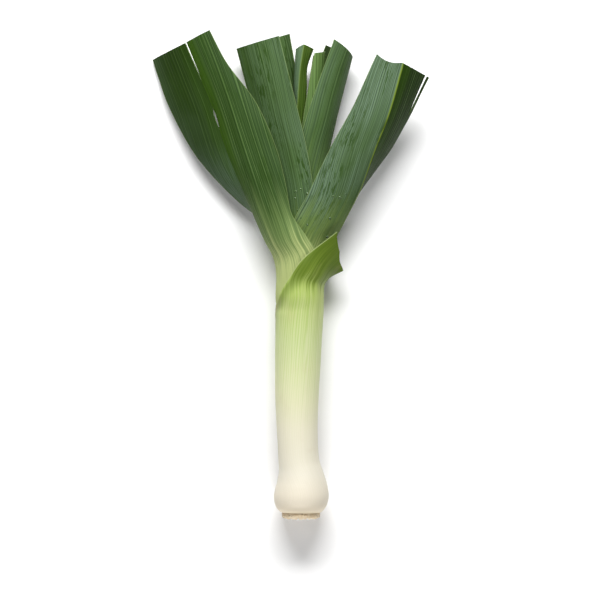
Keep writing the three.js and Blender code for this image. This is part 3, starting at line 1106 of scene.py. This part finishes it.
class LEEK_OT_root_plate(bpy.types.Operator):
    """Build the root plate with its trimmed roots"""

    bl_idname = "leek.root_plate"
    bl_label = "Root Plate"
    bl_options = {"REGISTER", "UNDO"}

    def execute(self, context):
        sizes, colours = context.scene.leek_sizes, context.scene.leek_colours
        low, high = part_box("root_plate")
        centre = (low + high) / 2
        radius = (high.x - low.x) / 2
        deselect_all()
        bpy.ops.mesh.primitive_uv_sphere_add(
            segments=64, ring_count=32, radius=1, location=(0, 0, 0), rotation=(math.pi / 2, 0, 0)
        )
        plate = bpy.context.object
        plate.name = plate.data.name = "leek_root_plate"
        bpy.ops.object.transform_apply(location=False, rotation=True, scale=False)
        face = ROOT_FACE_Y + SHIFT.y
        top = high.y / MM + PLATE_SEAT
        for vertex in plate.data.vertices:
            x, y, z = vertex.co
            wide = math.hypot(x, z)
            # A squashed ball with a flat cut face: round at the rim, level inside it.
            depth = math.copysign(min(abs(y) * PLATE_LEVEL, 1), y)
            rough = noise.fractal(Vector((x, depth, z)) * PLATE_LUMPS, 0.9, 2.0, 4)
            reach = radius / MM * min(1, wide * PLATE_UPRIGHT) / max(wide, TINY)
            reach *= 1 + PLATE_SIDE_LUMPS * rough
            level = (face + top) / 2 + depth * (top - face) / 2
            if depth < 0:
                level += PLATE_FACE_LUMPS * rough - PLATE_CROWN * (1 - wide)
            vertex.co = (centre.x + x * reach * MM, level * MM, centre.z + z * reach * MM)
        plate.data.materials.append(root_finish(colours))
        count = sizes.root_stubs
        stubs = [self.stub(i, count, centre, radius, face) for i in range(count)]
        join_all(plate, stubs)
        bpy.ops.object.shade_smooth_by_angle(angle=PLATE_SMOOTH_ANGLE)
        settle(plate, "root_plate")
        return {"FINISHED"}

    @staticmethod
    def stub(i, count, centre, radius, face):
        """One trimmed root, set in a sunflower pattern on the plate's face and leaning outwards."""
        share = math.sqrt((i + 0.5) / count)
        turn = i * GOLDEN_ANGLE
        out = share * radius * STUB_SPREAD
        thickness = STUB_RADIUS + STUB_VARIATION * noise.noise(Vector((i * 1.7, 0, 0)))
        tilt, swing = (STUB_LEAN * share * way for way in (math.sin(turn), math.cos(turn)))
        deselect_all()
        bpy.ops.mesh.primitive_cone_add(
            vertices=10,
            radius1=thickness * MM,
            radius2=STUB_TIP_RADIUS * MM,
            depth=STUB_LENGTH * MM,
            location=(
                centre.x + out * math.cos(turn),
                (face - STUB_OUT - STUB_CROWN * (1 - share)) * MM,
                centre.z + out * math.sin(turn),
            ),
            rotation=(math.pi / 2 + tilt, 0, swing),
        )
        stub = bpy.context.object
        bpy.ops.object.transform_apply()
        return stub


# Metres. Name, place, width and height, power of each light.
LIGHTS = (
    ("key_light", (-0.02, 0.86, 0.82), (0.9, 0.34), 24),
    ("left_light", (-1.30, 0.20, 1.10), (0.9, 0.9), 1.8),
    ("right_light", (1.30, -0.10, 1.10), (0.9, 0.9), 1.2),
    ("front_light", (0, -0.66, 0.34), (0.8, 0.25), 3.1),
)
ROOM_LIGHT = 0.07
BOARD_SIZE = 8  # wide enough that its edges don't show
BOARD_GAP = 0.0002  # under the leek
CAMERA_CLIP = (0.05, 20)


class LEEK_OT_stage(bpy.types.Operator):
    """Set up the board, the soft light and the camera"""

    bl_idname = "leek.stage"
    bl_label = "Stage"
    bl_options = {"REGISTER", "UNDO"}

    def execute(self, context):
        deselect_all()
        bpy.ops.mesh.primitive_plane_add(size=BOARD_SIZE, location=(0, 0, CAD_LOW.z - BOARD_GAP))
        floor = bpy.context.object
        floor.name = floor.data.name = "board"
        finish = Finish("pale_board")
        x, y, _ = finish.place()
        grain = finish.noise(x * 0.05, y * 0.05, detail=3)
        colour = finish.blend(grain, BOARD_GREY, BOARD_WHITE)
        floor.data.materials.append(finish.surface(Base_Color=colour, Roughness=0.9))
        for light in LIGHTS:
            self.light(*light)
        world = bpy.data.worlds.new("room")
        world.use_nodes = True
        background = world.node_tree.nodes["Background"]
        background.inputs["Color"].default_value = (1, 1, 1, 1)
        background.inputs["Strength"].default_value = ROOM_LIGHT
        context.scene.world = world
        context.scene.view_settings.view_transform = "Standard"
        self.camera(context)
        return {"FINISHED"}

    @staticmethod
    def light(name, place, size, power):
        """A soft box, aimed at the leek."""
        bpy.ops.object.light_add(type="AREA", location=place)
        lamp = bpy.context.object
        lamp.name = lamp.data.name = name
        lamp.data.shape = "RECTANGLE"
        lamp.data.size, lamp.data.size_y = size
        lamp.data.energy = power
        lamp.rotation_euler = (-Vector(place)).to_track_quat("-Z", "Y").to_euler()

    @staticmethod
    def camera(context):
        """Looks straight down on a place a little nearer to the roots than the leek's middle."""
        place = (CAMERA_X * MM, CAMERA_Y * MM, CAMERA_HEIGHT * MM)
        bpy.ops.object.camera_add(location=place, rotation=(0, 0, 0))
        camera = bpy.context.object
        camera.name = camera.data.name = "camera"
        camera.data.sensor_width = SENSOR
        camera.data.lens = SENSOR * (CAMERA_HEIGHT - AXIS_Z) / FIELD_WIDTH
        camera.data.clip_start, camera.data.clip_end = CAMERA_CLIP
        context.scene.camera = camera


class LEEK_PT_panel(bpy.types.Panel):
    """Sizes, colours and steps of the leek"""

    bl_label = "Leek"
    bl_idname = "LEEK_PT_panel"
    bl_space_type = "VIEW_3D"
    bl_region_type = "UI"
    bl_category = "Leek"

    def draw(self, context):
        for group in (context.scene.leek_sizes, context.scene.leek_colours):
            for name in group.bl_rna.properties.keys():
                if name not in {"rna_type", "name"}:
                    self.layout.prop(group, name)
        for step in STEPS:
            self.layout.operator(step.bl_idname)


STEPS = (LEEK_OT_stage, LEEK_OT_shank, LEEK_OT_leaves, LEEK_OT_root_plate)
CLASSES = (LeekSizes, LeekColours, *STEPS, LEEK_PT_panel)


def register():
    for made in CLASSES:
        bpy.utils.register_class(made)
    bpy.types.Scene.leek_sizes = bpy.props.PointerProperty(type=LeekSizes)
    bpy.types.Scene.leek_colours = bpy.props.PointerProperty(type=LeekColours)


def unregister():
    del bpy.types.Scene.leek_sizes
    del bpy.types.Scene.leek_colours
    for made in reversed(CLASSES):
        bpy.utils.unregister_class(made)


def main():
    register()
    bpy.ops.leek.stage()
    bpy.ops.leek.shank()
    bpy.ops.leek.leaves()
    bpy.ops.leek.root_plate()
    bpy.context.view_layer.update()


if __name__ == "__main__":
    main()
